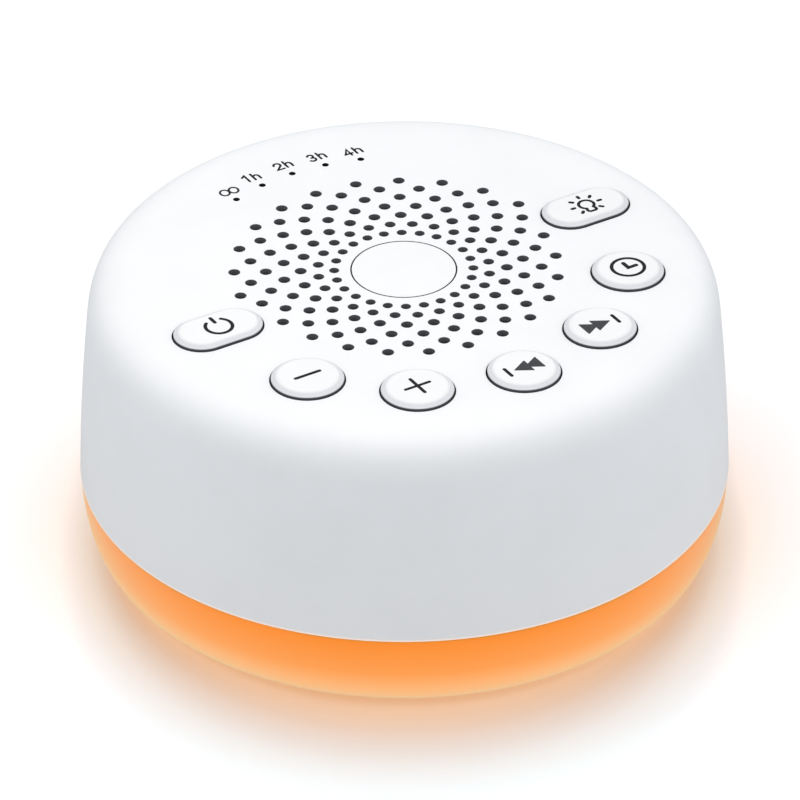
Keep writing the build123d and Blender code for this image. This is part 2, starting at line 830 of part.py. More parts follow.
def key_ribbon():
    """Flat cable between the two ribbon connectors, bowed outwards."""
    low = main_board_top + connector_height
    high = key_board_bottom - connector_height
    half = ribbon_thickness / 2
    middle = (low + high) / 2
    inner = ribbon_y + half
    outer = ribbon_y - half
    near = ThreePointArc((inner, low), (inner - ribbon_bow, middle), (inner, high))
    far = ThreePointArc((outer, high), (outer - ribbon_bow, middle), (outer, low))
    section = make_face(near + Line(near @ 1, far @ 0) + far + Line(far @ 1, near @ 0))
    return extrude(Plane.YZ * section, ribbon_width / 2, both=True)


def speaker_wires():
    """Two wires from the terminal lugs down to their connector, straight runs joined by arcs."""
    high = rim_bottom - terminal_size[2]
    low = main_board_top + connector_height
    step_out = wire_drop_x - speaker_connector_x
    points = [
        Vector(wire_drop_x, 0, high),
        Vector(wire_drop_x, 0, low + 2 * step_out + wire_slack),
        Vector(speaker_connector_x, 0, low + step_out),
        Vector(speaker_connector_x, 0, low),
    ]
    turn = (points[1] - points[0]).get_angle(points[2] - points[1])
    bend = bend_share * (points[3] - points[2]).length / tan(radians(turn / 2))
    route = FilletPolyline(*points, radius=bend)
    start = Plane(origin=route @ 0, z_dir=route % 0)
    wire = sweep(start * Circle(wire_radius), route)
    return group([Pos(0, side, 0) for side in (-wire_spread / 2, wire_spread / 2)], wire)


def usb_socket():
    """Power inlet: rounded metal mouth with a contact tongue, on the rear tab of the main board."""
    mouth = outer_radius(inlet_middle) - plug_recess_depth
    facing = Plane((0, mouth, inlet_middle), x_dir=(1, 0, 0), z_dir=(0, -1, 0))
    outside = RectangleRounded(inlet_width, inlet_height, inlet_corner)
    inside = RectangleRounded(
        inlet_width - 2 * inlet_wall, inlet_height - 2 * inlet_wall, inlet_corner - inlet_wall
    )
    cavity_depth = inlet_length - inlet_back
    socket = extrude(facing * outside, inlet_length) - extrude(facing * inside, cavity_depth)
    tongue = facing * Pos(0, 0, inlet_tongue_setback) * Rectangle(*inlet_tongue)
    return socket + extrude(tongue, cavity_depth - inlet_tongue_setback)


def lamp_board():
    board = ring(lamp_board_outer, lamp_board_inner, lamp_board_bottom, chassis_bottom)
    for angle in lamp_screw_angles():
        board -= at(lamp_circle, angle) * disc(passing_hole, lamp_board_bottom, chassis_bottom)
    return board


def base_lamps():
    chip = block((lamp_size, lamp_size, lamp_height), lamp_board_bottom - lamp_height)
    step = 360 / lamp_count
    places = [Rot(0, 0, step * k) * Pos(lamp_circle, 0, 0) for k in range(lamp_count)]
    return group(places, chip)


def lamp_header():
    return Pos(header_x, 0, 0) * block((*header_size, main_board_bottom - chassis_bottom), chassis_bottom)


# ---- Diffuser, base plate and feet --------------------------------------------------------
def bowl_curve(top, bottom):
    """From an upright wall to a level floor, a little fuller than a quarter ellipse."""
    wall_handle, floor_handle = bowl_fullness
    first = (top[0], top[1] - wall_handle * (top[1] - bottom[1]))
    second = (bottom[0] + floor_handle * (top[0] - bottom[0]), bottom[1])
    return Bezier(top, first, second, bottom)


def diffuser_base():
    """Milky bowl without a floor: it curves in to a lip over the edge of the base plate."""
    bowl_radius = shell_radius - diffuser_step
    tongue_radius = inner_radius(tongue_top) - tongue_clearance
    tongue_inner = tongue_radius - tongue_wall
    floor_radius = bowl_radius - diffuser_reach
    plate_seat = base_radius + base_gap
    lip_inner = base_radius - lip_width
    lip_top = base_top + lip_thickness
    outside = bowl_curve((bowl_radius, seam_height), (floor_radius, base_bottom))
    inside = corner_arc((floor_radius - floor_inset, lip_top), (tongue_inner, seam_height))
    under = Polyline(
        outside @ 1,
        (plate_seat, base_bottom),
        (plate_seat, base_top),
        (lip_inner, base_top),
        (lip_inner, lip_top),
        inside @ 0,
    )
    tongue = Polyline(
        inside @ 1,
        (tongue_inner, tongue_top),
        (tongue_radius, tongue_top),
        (tongue_radius, seam_height),
        outside @ 0,
    )
    return revolve(Plane.XZ * make_face(outside + under + inside + tongue), Axis.Z)


def base_plate():
    plate = disc(base_radius, base_bottom, base_top)
    counterbore = disc(head_hole, base_bottom, base_bottom + counterbore_depth)
    hole = disc(passing_hole, base_bottom, base_top)
    for angle in quarters:
        plate -= at(base_post_circle, angle) * (counterbore + hole)
    seat = disc(foot_radius + foot_gap, base_bottom, base_bottom + foot_recess)
    for angle in diagonals:
        plate -= at(foot_circle, angle) * seat
    return plate


def rubber_foot():
    foot = disc(foot_radius, 0, base_bottom + foot_recess)
    return chamfer(foot.edges().sort_by(Axis.Z)[0], foot_break)


# ---- Write every piece --------------------------------------------------------------------
def circle_of(radius, angles, height):
    return [at(radius, angle, height) for angle in angles]


def keys():
    """Caps and plungers by node name, and the seven switch housings."""
    places = key_places()
    pieces = {f"{name}_button": place * key_cap(name) for name, place in places.items()}
    for name, place in places.items():
        pieces[f"{name}_switch_plunger"] = place * switch_plunger()
    pieces["switch_housings"] = group(places.values(), switch_housing())
    return pieces


def screws():
    speaker_places = circle_of(speaker_boss_circle, speaker_screw_angles, rim_bottom)
    key_places_below = circle_of(key_boss_circle, key_screw_angles, key_board_bottom)
    housing_places = circle_of(post_circle, diagonals, chassis_bottom)
    lamp_places = circle_of(lamp_circle, lamp_screw_angles(), lamp_board_bottom)
    base_places = circle_of(base_post_circle, quarters, base_bottom + counterbore_depth)
    board_places = [place * Pos(0, 0, main_board_top) for place in standoff_places()]
    return {
        "speaker_screws": group(speaker_places, screw(speaker_screw, speaker_head_radius)),
        "key_board_screws": group(key_places_below, screw(long_screw)),
        "housing_screws": group(housing_places, screw(long_screw)),
        "lamp_board_screws": group(lamp_places, screw(board_screw)),
        "base_screws": group(base_places, screw(long_screw)),
        "main_board_screws": group(board_places, Rot(180, 0, 0) * screw(board_screw)),
    }


def main():
    pieces = {
        "top_shell": top_shell(),
        "centre_disc": centre_disc(),
        "key_board": key_board(),
        "indicator_lamps": group(indicator_sites(), block(indicator_lamp, key_board_top)),
        "indicator_light_guide": indicator_light_guide(),
        "acoustic_mesh": acoustic_mesh(),
        "speaker_gasket": speaker_gasket(),
        "speaker_basket": speaker_basket(),
        "speaker_surround": speaker_surround(),
        "speaker_cone": speaker_cone(),
        "dust_cap": dust_cap(),
        "voice_coil": voice_coil(),
        "speaker_spider": speaker_spider(),
        "speaker_top_plate": speaker_top_plate(),
        "speaker_magnet": speaker_magnet(),
        "speaker_yoke": speaker_yoke(),
        "speaker_terminals": speaker_terminals(),
        "speaker_wires": speaker_wires(),
        "key_ribbon": key_ribbon(),
        "chassis": chassis(),
        "main_board": main_board(),
        "board_chips": board_chips(),
        "board_capacitors": board_capacitors(),
        "board_connectors": board_connectors(),
        "usb_socket": usb_socket(),
        "lamp_board": lamp_board(),
        "base_lamps": base_lamps(),
        "lamp_header": lamp_header(),
        "diffuser_base": diffuser_base(),
        "base_plate": base_plate(),
        "rubber_feet": group(circle_of(foot_circle, diagonals, 0), rubber_foot()),
    }
    os.makedirs("parts", exist_ok=True)
    for name, shape in (pieces | keys() | screws()).items():
        save(name, shape)


main()
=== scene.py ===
import json
from math import cos, pi, radians, sin

import bmesh
import bpy
from mathutils import Matrix, Vector

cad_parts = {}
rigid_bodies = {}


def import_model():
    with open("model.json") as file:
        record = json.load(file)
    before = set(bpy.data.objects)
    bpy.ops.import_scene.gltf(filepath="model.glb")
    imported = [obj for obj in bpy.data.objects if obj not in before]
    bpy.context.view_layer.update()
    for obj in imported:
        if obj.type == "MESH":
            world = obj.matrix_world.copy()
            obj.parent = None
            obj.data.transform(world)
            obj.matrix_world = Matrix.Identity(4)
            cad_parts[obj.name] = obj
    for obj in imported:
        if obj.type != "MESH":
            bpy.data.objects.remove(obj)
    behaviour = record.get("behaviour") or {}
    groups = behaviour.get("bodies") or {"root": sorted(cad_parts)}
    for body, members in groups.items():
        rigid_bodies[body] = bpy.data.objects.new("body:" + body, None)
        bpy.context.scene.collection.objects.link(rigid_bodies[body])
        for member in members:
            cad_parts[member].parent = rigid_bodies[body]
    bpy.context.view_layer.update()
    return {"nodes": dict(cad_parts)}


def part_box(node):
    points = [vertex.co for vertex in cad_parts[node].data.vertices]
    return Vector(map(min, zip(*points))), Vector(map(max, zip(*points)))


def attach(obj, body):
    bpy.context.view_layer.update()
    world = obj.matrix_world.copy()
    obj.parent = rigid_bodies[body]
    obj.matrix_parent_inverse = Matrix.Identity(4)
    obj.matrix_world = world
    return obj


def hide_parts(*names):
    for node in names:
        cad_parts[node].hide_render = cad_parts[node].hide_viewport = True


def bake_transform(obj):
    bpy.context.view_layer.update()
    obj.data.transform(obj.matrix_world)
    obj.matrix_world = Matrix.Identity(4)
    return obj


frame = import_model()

NODES = frame["nodes"]
MM = 0.001

# ---- Camera -------------------------------------------------------------------------------
AZIMUTH = radians(-31.6)         # 0 looks along +Y
ELEVATION = radians(33.0504)
ROLL = radians(0.215)
DISTANCE = 1.27246
AIM_RIGHT = -0.000680            # where the middle of the picture lies from the deck's centre
AIM_UP = -0.020673
LENS = 362.38
SENSOR = 36.0
CLIP_START = 0.05
CLIP_END = 50.0

# ---- Light --------------------------------------------------------------------------------
SIDE_LIGHT_RIGHT = 1.32          # brightness of the surroundings straight to the camera's right
SIDE_LIGHT_LEFT = 0.93
SIDE_LIGHT_BETWEEN = 0.03        # and in front, behind and overhead
SOFTBOX_POWER = 2.51             # watts
SOFTBOX_SIZE = 0.8
SOFTBOX_HEIGHT = 0.5
SOFTBOX_FORWARD = 0.15           # towards the camera
SOFTBOX_LEFT = 0.12              # seen from the camera
SOFTBOX_COLOUR = (1.0, 0.995, 0.985)
WORLD_COLOUR = (0.985, 0.99, 1.0, 1.0)

# ---- Floor --------------------------------------------------------------------------------
FLOOR_SIZE = 8.0
FLOOR_GAIN = 1.25                # what the camera sees is this much lighter
FLOOR_COLOUR = (0.62, 0.648, 0.672, 1.0)
GLOW_START = 46 * MM             # radius at which the painted glow and shadow on the floor start, under the base
GLOW_WIDTH = 10 * MM             # how wide the painted glow is beside the object
GLOW_FRONT = 3.0                 # how many widths the painted glow is drawn longer in front and behind
GLOW_FOCUS = 2.5                 # how soon it narrows towards the sides
OPEN_FLOOR = (0.14, 0.3)         # radii between which the floor turns plain white

# ---- Levels and places read from the frame --------------------------------------------------
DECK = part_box("centre_disc")[1].z
CAP_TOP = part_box("power_button")[1].z
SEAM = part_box("top_shell")[0].z
BASE_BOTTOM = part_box("diffuser_base")[0].z
KEY_LOW, KEY_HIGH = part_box("timer_button")
KEY_MIDDLE = ((KEY_LOW + KEY_HIGH) / 2).xy.length
GRILLE_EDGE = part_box("acoustic_mesh")[1].y + 1.0 * MM   # between the grille and the other openings
OPENING_EDGE = KEY_MIDDLE + (KEY_HIGH.x - KEY_LOW.x) / 2 + 0.2 * MM   # outside every opening
SURFACE = 0.02 * MM              # below this depth under the deck, a face belongs to an opening
INK_HEIGHT = 0.02 * MM           # printed ink over the plastic
INK_ROOT = 0.01 * MM             # how far it reaches into the plastic
INK_STEP = 0.001 * MM            # one stroke over the next, so that no two faces share a plane


# ---- Small helpers -------------------------------------------------------------------------
def add_object(name, data):
    made = bpy.data.objects.new(name, data)
    bpy.context.scene.collection.objects.link(made)
    return made


def srgb(red, green, blue):
    """Linear colour of an sRGB colour in 0 to 255."""
    def linear(value):
        value /= 255
        return value / 12.92 if value <= 0.04045 else ((value + 0.055) / 1.055) ** 2.4
    return (linear(red), linear(green), linear(blue), 1.0)


def grey(value):
    return (value, value, value, 1.0)


def scaled(colour, share):
    return (colour[0] * share, colour[1] * share, colour[2] * share, 1.0)


NOISE_RANGE = (0.3, 0.7)         # where nearly all of a noise texture's values lie


class Shader:
    """A material's node tree, with short calls to add and join its nodes."""

    def __init__(self, name):
        self.material = bpy.data.materials.new(name)
        self.material.use_nodes = True
        self.tree = self.material.node_tree
        self.surface = self.tree.nodes["Principled BSDF"]
        self.output = self.tree.nodes["Material Output"]

    def add(self, kind, **values):
        node = self.tree.nodes.new(kind)
        for key, value in values.items():
            setattr(node, key, value)
        return node

    def link(self, source, target):
        self.tree.links.new(source, target)

    def set(self, **values):
        for key, value in values.items():
            self.surface.inputs[key.replace("_", " ")].default_value = value

    def feed(self, name, source):
        self.link(source, self.surface.inputs[name])

    def math(self, operation, first, second=None):
        node = self.add("ShaderNodeMath", operation=operation)
        for socket, value in zip(node.inputs, (first, second)):
            if value is None:
                continue
            if isinstance(value, (int, float)):
                socket.default_value = value
            else:
                self.link(value, socket)
        return node.outputs[0]

    def place(self):
        """The point in the part's frame."""
        return self.add("ShaderNodeTexCoord").outputs["Object"]

    def axes(self):
        split = self.add("ShaderNodeSeparateXYZ")
        self.link(self.place(), split.inputs[0])
        return split.outputs

    def radius(self):
        """Distance from the upright axis."""
        x, y, _ = self.axes()
        squares = self.math("ADD", self.math("MULTIPLY", x, x), self.math("MULTIPLY", y, y))
        return self.math("SQRT", squares)

    def noise(self, scale, detail=4.0, roughness=0.55):
        node = self.add("ShaderNodeTexNoise")
        node.inputs["Scale"].default_value = scale
        node.inputs["Detail"].default_value = detail
        node.inputs["Roughness"].default_value = roughness
        self.link(self.place(), node.inputs["Vector"])
        return node.outputs["Fac"]

    def cells(self, scale):
        node = self.add("ShaderNodeTexVoronoi")
        node.inputs["Scale"].default_value = scale
        self.link(self.place(), node.inputs["Vector"])
        return node.outputs["Distance"]

    def waves(self, scale, direction, distortion=0.0):
        node = self.add("ShaderNodeTexWave", bands_direction=direction)
        node.inputs["Scale"].default_value = scale
        node.inputs["Distortion"].default_value = distortion
        self.link(self.place(), node.inputs["Vector"])
        return node.outputs["Fac"]

    def ramp(self, value, stops):
        node = self.add("ShaderNodeValToRGB")
        elements = node.color_ramp.elements
        while len(elements) < len(stops):
            elements.new(0.5)
        for element, (where, colour) in zip(elements, stops):
            element.position = where
            element.color = colour
        self.link(value, node.inputs["Fac"])
        return node.outputs["Color"]

    def spread(self, value, low, high, to_low=0.0, to_high=1.0):
        node = self.add("ShaderNodeMapRange")
        for index, number in enumerate((low, high, to_low, to_high), start=1):
            node.inputs[index].default_value = number
        self.link(value, node.inputs[0])
        return node.outputs[0]

    def mix(self, share, first, second):
        """first where share is 0, second where it is 1; each a colour or a socket."""
        node = self.add("ShaderNodeMix", data_type="RGBA")
        self.link(share, node.inputs["Factor"])
        for socket, value in ((node.inputs[6], first), (node.inputs[7], second)):
            if isinstance(value, tuple):
                socket.default_value = value
            else:
                self.link(value, socket)
        return node.outputs[2]

    def paint(self, value, *stops):
        """Base colour that follows the value; a stop is a place and its colour."""
        colour = self.ramp(value, stops)
        self.feed("Base Color", colour)
        return colour

    def uneven(self, name, scale, low, high):
        """Feeds a socket with noise that wanders between the two numbers."""
        self.feed(name, self.spread(self.noise(scale), *NOISE_RANGE, low, high))

    def bump(self, height, strength, distance):
        node = self.add("ShaderNodeBump")
        node.inputs["Strength"].default_value = strength
        node.inputs["Distance"].default_value = distance
        self.link(height, node.inputs["Height"])
        self.feed("Normal", node.outputs["Normal"])


# ---- Materials -----------------------------------------------------------------------------
SHELL_WHITE = (0.926, 0.94, 0.96, 1.0)
SHELL_SPECULAR = 0.15
WALL_DEPTH = 1.1 * MM            # how far down the painted shade on a grille hole's wall changes
KEY_WALL_SHADE = (0.02, 0.021, 0.024, 1.0)     # painted shade: the dark walls of the openings outside the grille
# painted shade on the centre disc's rim in its gap
DISC_RIM_SHADE = grey(0.06)
LIP_HEIGHT = 0.44 * MM           # the shell's lowest edge, given a painted glow as if lit through by the base
LIP_FADE = 0.82                  # the glow is full from this share of that height down
# painted glow: emission of the shell's lip, which is no lamp
LIP_PAINTED_GLOW = (0.24, 0.11, 0.02, 1.0)
CAP_WHITE = (0.918, 0.924, 0.934, 1.0)
CAP_BEVEL = (0.005 * MM, 0.21 * MM)      # depths under the cap's top between which painted shade darkens the bevel
CAP_BEVEL_PAINTED_SHADE = (0.71, 0.716, 0.75, 1.0)
CAP_SKIRT = (0.53 * MM, 0.64 * MM)       # depths between which the painted shadow on the cap's lower side begins
CAP_SKIRT_PAINTED_SHADOW = (0.078, 0.081, 0.092, 1.0)


def moulded(name, colour, roughness=0.42, grain=0.06, cloud_depth=0.02):
    """Moulded plastic: faint cloud in the colour and the gloss, and a fine spark grain.

    Returns the shader and its colour, which is already joined to the surface.
    """
    shader = Shader(name)
    deeper = scaled(colour, 1 - cloud_depth)
    cloud = shader.paint(shader.noise(90.0, 3.0), (0.35, deeper), (0.65, colour))
    shader.uneven("Roughness", 420.0, roughness - 0.04, roughness + 0.05)
    shader.bump(shader.noise(9000.0, 2.0), grain, 0.01 * MM)
    return shader, cloud


def shell_material():
    """White satin shell, with painted shade on the walls of the deck's openings and a painted glow
    along the seam's lip.
    """
    shader, cloud = moulded("shell", SHELL_WHITE)
    shader.set(Specular_IOR_Level=SHELL_SPECULAR)
    height = shader.axes()[2]
    inside = shader.math("LESS_THAN", shader.radius(), OPENING_EDGE)
    depth = shader.spread(height, DECK - WALL_DEPTH, DECK - SURFACE)
    # painted shade inside the grille's holes, darkest deep down
    wall_shade = shader.ramp(depth, (
        (0.0, (0.1, 0.104, 0.113, 1.0)),
        (0.5, (0.172, 0.178, 0.192, 1.0)),
        (1.0, (0.145, 0.151, 0.163, 1.0)),
    ))
    outer = shader.math("GREATER_THAN", shader.radius(), GRILLE_EDGE)
    wall_shade = shader.mix(outer, wall_shade, KEY_WALL_SHADE)
    below = shader.math("LESS_THAN", height, DECK - SURFACE)
    hole = shader.math("MULTIPLY", inside, below)
    shader.feed("Base Color", shader.mix(hole, cloud, wall_shade))
    # painted glow: the shell's lowest edge emits as if lit through by the base
    lip = shader.spread(height, SEAM + LIP_HEIGHT, SEAM + LIP_FADE * LIP_HEIGHT)
    shader.feed("Emission Color", shader.mix(lip, grey(0.0), LIP_PAINTED_GLOW))
    shader.set(Emission_Strength=1.0)
    return shader.material


def keycap_material():
    """White cap with a slightly darker bevel of painted shade, and a dark painted shadow low on its
    side in the shell's opening.
    """
    shader, cloud = moulded("keycap", CAP_WHITE, roughness=0.36, grain=0.04)
    shader.set(Specular_IOR_Level=0.3)
    height = shader.axes()[2]
    bevel = shader.spread(height, CAP_TOP - CAP_BEVEL[0], CAP_TOP - CAP_BEVEL[1])
    skirt = shader.spread(height, CAP_TOP - CAP_SKIRT[0], CAP_TOP - CAP_SKIRT[1])
    # painted shade on the bevel
    shaded = shader.mix(bevel, cloud, CAP_BEVEL_PAINTED_SHADE)
    # painted shadow: the cap's side in the shell's opening is dark as the gap's shade
    shader.feed("Base Color", shader.mix(skirt, shaded, CAP_SKIRT_PAINTED_SHADOW))
    return shader.material


def disc_material():
    """The centre disc, whose rim under the deck is painted as dark as the walls of the grille's
    holes, a painted shade in its gap.
    """
    shader, cloud = moulded("centre_disc", SHELL_WHITE)
    shader.set(Specular_IOR_Level=SHELL_SPECULAR)
    below = shader.math("LESS_THAN", shader.axes()[2], DECK - SURFACE)
    shader.feed("Base Color", shader.mix(below, cloud, DISC_RIM_SHADE))
    return shader.material


def diffuser_material():
    """Milky translucent plastic lit from inside, deepest orange just under the seam, where a painted
    shadow line darkens the last sliver.
    """
    shader = Shader("diffuser")
    height = shader.axes()[2]
    level = shader.spread(height, BASE_BOTTOM, SEAM)
    cloud = shader.spread(shader.noise(60.0, 2.0), *NOISE_RANGE, -0.012, 0.012)
    level = shader.math("ADD", level, cloud)
    glow = shader.ramp(level, (
        (0.0, srgb(255, 214, 176)),
        (0.2, srgb(255, 179, 116)),
        (0.55, srgb(255, 120, 0)),
        (0.975, srgb(255, 88, 0)),
        # painted shadow line along the seam, under the shell's edge
        (0.99, srgb(200, 84, 10)),
    ))
    shader.paint(level, (0.0, (0.64, 0.36, 0.16, 1.0)), (1.0, (0.48, 0.265, 0.004, 1.0)))
    shader.feed("Emission Color", glow)
    shader.set(Emission_Strength=0.65, Roughness=0.38, Specular_IOR_Level=0.2)
    shader.set(Sheen_Weight=1.0, Sheen_Roughness=0.5, Sheen_Tint=(1.0, 0.93, 0.6, 1.0))
    shader.bump(shader.noise(5200.0, 2.0), 0.05, 0.01 * MM)
    return shader.material


def rubber(name, colour, roughness=0.78):
    shader = Shader(name)
    shader.paint(shader.noise(160.0), (0.35, scaled(colour, 0.82)), (0.65, colour))
    shader.uneven("Roughness", 900.0, roughness - 0.06, roughness + 0.06)
    shader.bump(shader.noise(3200.0, 5.0), 0.25, 0.02 * MM)
    return shader.material


def foam(name, colour):
    """Open cells about half a millimetre wide."""
    shader = Shader(name)
    cells = shader.cells(2400.0)
    shader.paint(cells, (0.1, scaled(colour, 0.35)), (0.6, colour))
    shader.set(Roughness=0.95)
    shader.bump(cells, 0.6, 0.15 * MM)
    return shader.material


def woven(name, colour, threads, sheen=0.2):
    """Plain weave with that many wave bands to the metre each way."""
    shader = Shader(name)
    weave = shader.math("MULTIPLY", shader.waves(threads, "X"), shader.waves(threads, "Y"))
    shader.paint(weave, (0.05, scaled(colour, 0.25)), (0.7, colour))
    shader.set(Roughness=0.85, Sheen_Weight=sheen)
    shader.bump(weave, 0.5, 0.05 * MM)
    return shader.material


def pressed_paper(name, colour):
    """Long soft fibres in a dark pressed pulp."""
    shader = Shader(name)
    fibres = shader.waves(260.0, "DIAGONAL", distortion=14.0)
    shader.paint(fibres, (0.2, scaled(colour, 0.7)), (0.9, scaled(colour, 1.25)))
    shader.set(Roughness=0.88)
    shader.bump(shader.noise(2600.0, 6.0), 0.35, 0.04 * MM)
    return shader.material


def metal(name, colour, roughness, brushed="Z"):
    """Plated or brushed metal with faint lines along one direction and dull patches."""
    shader = Shader(name)
    lines = shader.waves(1500.0, brushed, distortion=3.0)
    shader.paint(lines, (0.0, scaled(colour, 0.86)), (1.0, colour))
    shader.uneven("Roughness", 240.0, roughness - 0.06, roughness + 0.08)
    shader.set(Metallic=1.0)
    shader.bump(lines, 0.08, 0.01 * MM)
    return shader.material


def painted_metal(name, colour):
    shader, _ = moulded(name, colour, roughness=0.5, grain=0.3, cloud_depth=0.15)
    shader.set(Coat_Weight=0.25, Coat_Roughness=0.35)
    return shader.material


def magnet_material():
    """Sintered ferrite: dark, granular, faintly metallic."""
    shader = Shader("magnet")
    grains = shader.cells(1800.0)
    shader.paint(grains, (0.0, grey(0.05)), (0.8, grey(0.13)))
    shader.set(Roughness=0.62, Metallic=0.35)
    shader.bump(grains, 0.3, 0.03 * MM)
    return shader.material


def copper_winding():
    """Round after round of enamelled wire, 0.2 mm apart."""
    shader = Shader("coil_copper")
    turns = shader.waves(1600.0, "Z")
    shader.paint(turns, (0.0, (0.3, 0.12, 0.05, 1.0)), (1.0, (0.78, 0.38, 0.18, 1.0)))
    shader.set(Metallic=0.85, Roughness=0.35)
    shader.bump(turns, 0.5, 0.04 * MM)
    return shader.material


def board(name, mask, track):
    """Solder mask over copper tracks, which show as a slightly lighter pattern."""
    shader = Shader(name)
    bricks = shader.add("ShaderNodeTexBrick")
    bricks.inputs["Scale"].default_value = 210.0
    bricks.inputs["Mortar Size"].default_value = 0.012
    bricks.inputs["Color1"].default_value = mask
    bricks.inputs["Color2"].default_value = scaled(mask, 0.9)
    bricks.inputs["Mortar"].default_value = track
    shader.link(shader.place(), bricks.inputs["Vector"])
    shader.feed("Base Color", bricks.outputs["Color"])
    shader.uneven("Roughness", 500.0, 0.28, 0.4)
    shader.set(Coat_Weight=0.4, Coat_Roughness=0.15)
    shader.bump(bricks.outputs["Fac"], 0.15, 0.03 * MM)
    return shader.material


def lamp_material():
    """Warm phosphor of the small lamps."""
    shader = Shader("lamp")
    warm, pale = (0.85, 0.6, 0.2, 1.0), (1.0, 0.82, 0.42, 1.0)
    phosphor = shader.paint(shader.noise(1500.0), (0.3, warm), (0.7, pale))
    shader.feed("Emission Color", phosphor)
    shader.set(Emission_Strength=0.4, Roughness=0.3)
    return shader.material


def smoked_plastic():
    """The light guide, dark while its lamps are off."""
    shader = Shader("clear_plastic")
    shader.paint(shader.noise(700.0), (0.3, grey(0.004)), (0.7, grey(0.009)))
    shader.set(Roughness=0.3, Specular_IOR_Level=0.2)
    shader.bump(shader.noise(4000.0, 2.0), 0.04, 0.01 * MM)
    return shader.material


def printed_ribbon():
    """Pale flat cable with its conductors side by side."""
    shader = Shader("ribbon")
    lines = shader.waves(320.0, "X")
    shader.paint(lines, (0.3, (0.55, 0.56, 0.58, 1.0)), (0.6, (0.85, 0.86, 0.88, 1.0)))
    shader.set(Roughness=0.35)
    shader.bump(lines, 0.3, 0.05 * MM)
    return shader.material


def ink(name, colour):
    """Pad-printed matt ink, a little uneven in its cover and gloss."""
    shader = Shader(name)
    shader.set(Specular_IOR_Level=0.1)
    shader.paint(shader.noise(2600.0), (0.3, colour), (0.75, scaled(colour, 1.6)))
    shader.uneven("Roughness", 1200.0, 0.5, 0.65)
    shader.bump(shader.noise(6000.0, 2.0), 0.08, 0.01 * MM)
    return shader.material


def plastic(name, colour, roughness=0.42, grain=0.1):
    return moulded(name, colour, roughness, grain, cloud_depth=0.06)[0].material


MATERIALS = {
    "shell": shell_material(),
    "keycap": keycap_material(),
    "diffuser": diffuser_material(),
    "base_plastic": plastic("base_plastic", grey(0.86)),
    "foot_rubber": rubber("foot_rubber", (0.17, 0.17, 0.178, 1.0)),
    "switch_plastic": plastic("switch_plastic", (0.04, 0.04, 0.044, 1.0), 0.5),
    "plunger_plastic": plastic("plunger_plastic", (0.33, 0.22, 0.14, 1.0), 0.5),
    "circuit_board": board("circuit_board", (0.03, 0.2, 0.09, 1.0), (0.07, 0.32, 0.14, 1.0)),
    "lamp_board_white": board("lamp_board_white", grey(0.8), grey(0.7)),
    "lamp": lamp_material(),
    "clear_plastic": smoked_plastic(),
    "mesh_cloth": woven("mesh_cloth", grey(0.018), 900.0),
    "foam": foam("foam", (0.06, 0.06, 0.064, 1.0)),
    "frame_metal": painted_metal("frame_metal", (0.035, 0.035, 0.038, 1.0)),
    "surround_rubber": rubber("surround_rubber", (0.03, 0.03, 0.032, 1.0), 0.68),
    "cone_paper": pressed_paper("cone_paper", (0.085, 0.08, 0.075, 1.0)),
    "spider_cloth": woven("spider_cloth", (0.68, 0.42, 0.14, 1.0), 700.0, sheen=0.1),
    "coil_copper": copper_winding(),
    "magnet": magnet_material(),
    "motor_steel": metal("motor_steel", grey(0.6), 0.34),
    "terminal_strip": metal("terminal_strip", (0.72, 0.58, 0.28, 1.0), 0.4, "X"),
    "wire": rubber("wire", (0.5, 0.04, 0.035, 1.0), 0.45),
    "ribbon": printed_ribbon(),
    "screw_steel": metal("screw_steel", grey(0.56), 0.3),
    "chip_plastic": plastic("chip_plastic", (0.03, 0.03, 0.033, 1.0), 0.55, grain=0.2),
    "capacitor": metal("capacitor", (0.74, 0.75, 0.77, 1.0), 0.24),
    "connector_plastic": plastic("connector_plastic", (0.84, 0.78, 0.64, 1.0), 0.46),
    "inlet_metal": metal("inlet_metal", grey(0.68), 0.26, "Y"),
}
NODE_MATERIALS = {"centre_disc": disc_material()}


def dress_nodes():
    """Gives each CAD node the material of its slot, or its own one."""
    for name, node in NODES.items():
        for holder in node.material_slots:
            slot = holder.material.name.split(".")[0]
            holder.material = NODE_MATERIALS.get(name, MATERIALS[slot])


# ---- Soft rings of the speaker --------------------------------------------------------------
FLEX_SECTORS = 16
FLEX_WELD = 0.0005 * MM          # points closer than this become one before a ring is cut


def sector(node, name, middle):
    """Closed mesh of the node's ring within half a sector's angle on each side of the middle."""
    form = bmesh.new()
    form.from_mesh(NODES[node].data)
    bmesh.ops.remove_doubles(form, verts=form.verts[:], dist=FLEX_WELD)
    for side in (-1, 1):
        edge = middle + side * pi / FLEX_SECTORS
        away = Vector((-sin(edge), cos(edge), 0)) * side
        cut = bmesh.ops.bisect_plane(form, geom=form.verts[:] + form.edges[:] + form.faces[:],
                                     plane_co=(0, 0, 0), plane_no=away, clear_outer=True)
        rim = [part for part in cut["geom_cut"] if isinstance(part, bmesh.types.BMEdge)]
        bmesh.ops.holes_fill(form, edges=rim)
    mesh = bpy.data.meshes.new(name)
    form.to_mesh(mesh)
    form.free()
    mesh.materials.clear()
    return mesh


def flexing(node, slot):
    """Cuts a ring of rubber or cloth into sectors, each a piece of its own, and hides the whole
    ring.
    """
    for k in range(FLEX_SECTORS):
        name = f"{node}_{k + 1}"
        middle = 2 * pi * (k + 0.5) / FLEX_SECTORS
        mesh = sector(node, name, middle)
        mesh.materials.append(MATERIALS[slot])
        piece = add_object(name, mesh)
        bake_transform(piece)
        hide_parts(node)


def make_speaker_flex():
    """Cuts the surround's half roll and the spider's waves into sectors."""
    flexing("speaker_surround", "surround_rubber")
    flexing("speaker_spider", "spider_cloth")


